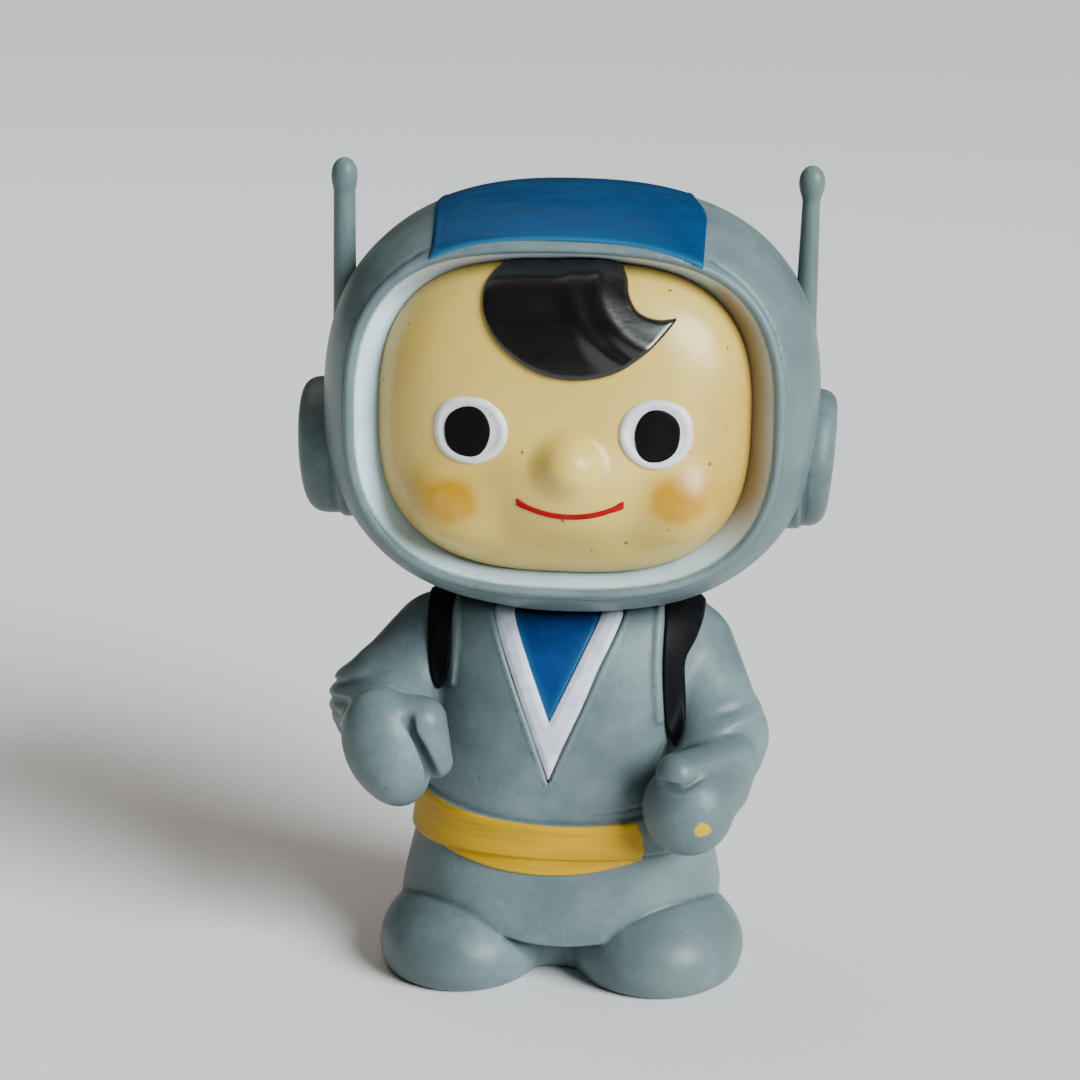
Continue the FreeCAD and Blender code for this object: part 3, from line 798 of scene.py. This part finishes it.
def face_paint(name):
    """Cream vinyl with sprayed cheeks, a few dark specks, and warm and brown spray towards its sides and
    border that is partly painted shade, as is the brown in its creases.
    """
    n = Nodes(name)
    cloud = n.noise(70.0, 4.0, 0.5)
    tone = n.mix(n.ramp(cloud, 0.35, 0.65), darker(CREAM, 0.95), darker(CREAM, 1.04))
    spray = n.ramp(n.noise(700.0, 2.0, seed=2.0), 0.3, 0.7, 0.8, 1.1)
    # Warm spray towards the sides and chin, partly painted shade.
    tone = n.mix(n.math("MULTIPLY", n.math("MULTIPLY", n.mask("shade"), 0.5), spray), tone, TAN)
    # Brown at the face's edge by the helmet wall: spray and painted shade.
    tone = n.mix(n.math("MULTIPLY", n.math("MULTIPLY", n.mask("border"), 0.8), spray), tone, BROWN)
    patchy = n.ramp(n.noise(260.0, 3.0, seed=7.0), 0.25, 0.6, 0.7, 1.0)
    tone = n.mix(n.math("MULTIPLY", n.mask("cheeks"), patchy), tone, BLUSH)
    # Brown in the creases: dirt and painted shade.
    tone = n.mix(n.math("MULTIPLY", n.mask("hollow"), 0.55), tone, BROWN)
    specks = n.ramp(n.noise(520.0, 0.0, 0.4, seed=15.0), 0.80, 0.83, 0.0, 0.8)
    tone = n.mix(specks, tone, darker(BROWN, 0.4))
    height = n.noise(300.0, 3.0, 0.5, seed=1.0)
    return n.finish(tone, n.ramp(cloud, 0.3, 0.7, 0.27, 0.36), height, 0.00008, 0.5)


SUIT_COLOUR = (0.126, 0.182, 0.193)
EAR_COLOUR = (0.102, 0.155, 0.156)
PALE = (0.58, 0.76, 0.86)
CREAM = (0.66, 0.475, 0.105)
TAN = (0.44, 0.25, 0.035)
BROWN = (0.26, 0.145, 0.008)
BLUSH = (0.45, 0.228, 0.0)
BLUE_COLOUR = (0.0, 0.040, 0.125)
SKY = (0.03, 0.20, 0.36)

SUIT = vinyl("suit_vinyl", SUIT_COLOUR, yellow_dab)
PACK = vinyl("pack_vinyl", SUIT_COLOUR)
HELMET = vinyl("helmet_vinyl", SUIT_COLOUR, pale_wall)
EARS = vinyl("ear_vinyl", EAR_COLOUR)
FACE = face_paint("face_vinyl")
WHITE = paint("eye_paint", (0.72, 0.70, 0.74), 0.42, thin=(0.5, 0.42, 0.30), amount=0.3)
BLACK = paint("black_paint", (0.004, 0.004, 0.005), 0.5, (1.0, 1.0, 0.3), spec=0.06)
HAIR_BLACK = paint("hair_paint", (0.004, 0.0035, 0.004), 0.23, (0.4, 1.0, 1.0), spec=0.8)
# Its lighter rim along the V is a painted bevel line and the painted highlight of the lit step.
BLUE = paint("blue_paint", (0.0, 0.036, 0.155), 0.42, edge=SKY, spec=0.2)
PANEL = paint("panel_paint", BLUE_COLOUR, 0.40, (0.4, 1.0, 1.0), SKY, 0.14, SKY, 0.1)
YELLOW = paint("yellow_paint", (0.50, 0.285, 0.0), 0.45, (0.16, 0.3, 2.2), (0.12, 0.09, 0.0), 0.6, spec=0.3)
COLLAR = paint("collar_paint", (0.62, 0.65, 0.74), 0.40, thin=(0.30, 0.34, 0.38), amount=0.35)
RED = paint("mouth_paint", (0.34, 0.001, 0.003), 0.45, spec=0.15)


def build_head():
    piece("helmet", helmet, (-48, -43, 72), (48, 43, 155), 0.7, HELMET, "head", ["helmet_shell"],
          {"wall": inner_wall, "warm": warm_wall_spray_and_shade})
    piece("face", face, (-38, -44, 81), (38, -17, 144), 0.55, FACE, "head", ["face_shell"],
          {"cheeks": cheeks, "border": face_edge_spray_and_shade, "shade": face_spray_and_shade})
    for side, sign in (("right", -1), ("left", 1)):
        cx, cz = EYES[side]
        piece(side + "_eye_white", patch(oval_patch((cx, cz), (6.8, 6.3), 0.12, sign), 0.0, 0.35, 0.6, 0.3),
              (cx - 8, -42, cz - 8), (cx + 8, -24, cz + 8), 0.3, WHITE, "head", [side + "_eye"])
        cx, cz = PUPILS[side]
        piece(side + "_pupil_paint", patch(oval_patch((cx, cz), (4.15, 4.75), 0.1, 2 * sign), 0.5, 0.22, 0.3),
              (cx - 6, -42, cz - 6), (cx + 6, -24, cz + 6), 0.25, BLACK, "head", [side + "_pupil"])
        low = (36, -16, 86) if sign > 0 else (-56, -16, 86)
        high = (56, 18, 158) if sign > 0 else (-36, 18, 158)
        piece(side + "_ear_and_antenna", lambda x, y, z, s=sign: head_side(x, y, z, s), low, high, 0.4, EARS,
              "head", [side + "_ear_cup", side + "_antenna"])
    piece("mouth", patch(smile, 0.0, 0.28, 0.3), (-9, -46, 93), (14, -26, 101), 0.2, RED, "head",
          ["mouth_line"])
    piece("forelock", hair, (-17, -42, 120), (23, -20, 145), 0.35, HAIR_BLACK, "head", ["hair_forelock"])
    piece("crown_stripe", crown_panel, (-28, -43, 103), (26, 43, 156), 0.5, PANEL, "head", ["crown_panel"],
          {"border": panel_border})


def build_body():
    piece("body", body, (-48, -36, 0), (46, 28, 81), 0.5, SUIT, "body", ["body_shell"],
          {"dot": paint_dot})
    piece("collar_v", inlay(V_OUTER, V_INNER, 0.45), (-18, -25, 40), (17, 0, 74), 0.3, COLLAR, "body",
          ["collar_band"])
    piece("shirt_front", inlay(V_INNER, None, 0.9), (-14, -25, 52), (13, 0, 74), 0.3, BLUE, "body",
          ["undershirt"], {"border": neckline_paint_and_highlight})
    piece("belt_paint", belt, (-34, -28, 22), (18, 0, 37), 0.3, YELLOW, "body", ["belt"])
    for side, sign in (("right", -1), ("left", 1)):
        low = (-30, -24, 55) if side == "right" else (12, -24, 47)
        high = (-12, 24, 75) if side == "right" else (30, 24, 75)
        piece(side + "_strap_band", strap(side, sign), low, high, 0.3, BLACK, "body", [side + "_strap"])
    piece("pack", back_pack, (-16, 8, 38), (16, 29, 66), 0.5, PACK, "body", ["back_pack"])


# ---- stage, light and camera ----
FLOOR = 9.0                    # half its width, metres
ROOM_LIGHT = (0.066, 0.059, 0.050, 1)
BACKDROP = (0.92, 0.93, 0.94, 1)
TARGET = Vector((0, 0, 0.078))


def stage():
    """A pale floor of matt paper, wide enough to have no edge in sight."""
    mesh = bpy.data.meshes.new("floor")
    corners = [(-FLOOR, -FLOOR, 0), (FLOOR, -FLOOR, 0), (FLOOR, FLOOR, 0), (-FLOOR, FLOOR, 0)]
    mesh.from_pydata(corners, [], [(0, 1, 2, 3)])
    floor = bpy.data.objects.new("floor", mesh)
    bpy.context.scene.collection.objects.link(floor)
    n = Nodes("floor_paper")
    grain = n.noise(900.0, 4.0, 0.7)
    tone = n.mix(n.ramp(grain, 0.3, 0.7), (0.80, 0.795, 0.795), (0.86, 0.86, 0.865))
    mesh.materials.append(n.finish(tone, 0.8, grain, 0.00004, 0.3))


def lights():
    """A broad soft key from the figure's front left, a weak warm fill from above, and a dim room that looks
    as pale as the floor."""
    key = bpy.data.lights.new("key", "SUN")
    key.angle = math.radians(34.0)
    key.energy = 7.0
    key.color = (0.92, 0.98, 1.0)
    obj = bpy.data.objects.new("key", key)
    bpy.context.scene.collection.objects.link(obj)
    obj.rotation_euler = Vector((1.60, -1.25, 1.07)).to_track_quat("Z", "Y").to_euler()
    above = bpy.data.lights.new("above", "AREA")
    above.size = 1.6
    above.energy = 12.0
    above.color = (1.0, 0.92, 0.82)
    obj = bpy.data.objects.new("above", above)
    obj.location = (-0.35, 0.45, 1.8)
    obj.rotation_euler = (-0.22, -0.19, 0.0)
    bpy.context.scene.collection.objects.link(obj)
    world = bpy.data.worlds.new("room")
    bpy.context.scene.world = world
    world.use_nodes = True
    tree = world.node_tree
    seen = tree.nodes.new("ShaderNodeLightPath").outputs["Is Camera Ray"]
    mix = tree.nodes.new("ShaderNodeMix")
    mix.data_type = "RGBA"
    mix.inputs[6].default_value = ROOM_LIGHT
    mix.inputs[7].default_value = BACKDROP
    tree.links.new(seen, mix.inputs[0])
    tree.links.new(mix.outputs[2], tree.nodes["Background"].inputs["Color"])


def camera():
    """Seen 4 degrees from the figure's left and 14 degrees above, leaning 1.3 degrees."""
    azimuth, elevation, roll, distance = math.radians(4.0), math.radians(14.0), math.radians(1.3), 0.55
    level = math.cos(elevation)
    back = Vector((math.sin(azimuth) * level, -math.cos(azimuth) * level, math.sin(elevation)))
    right = Vector((0, 0, 1)).cross(back).normalized()
    up = back.cross(right)
    right, up = (right * math.cos(roll) + up * math.sin(roll), -right * math.sin(roll) + up * math.cos(roll))
    data = bpy.data.cameras.new("camera")
    data.sensor_width = 36.0
    data.lens = 93.5
    data.shift_x = -0.0274
    data.shift_y = 0.0269
    obj = bpy.data.objects.new("camera", data)
    bpy.context.scene.collection.objects.link(obj)
    place = Matrix((right, up, back)).transposed().to_4x4()
    place.translation = TARGET + back * distance
    obj.matrix_world = place
    bpy.context.scene.camera = obj


build_head()
build_body()
stage()
lights()
camera()
bpy.context.view_layer.update()
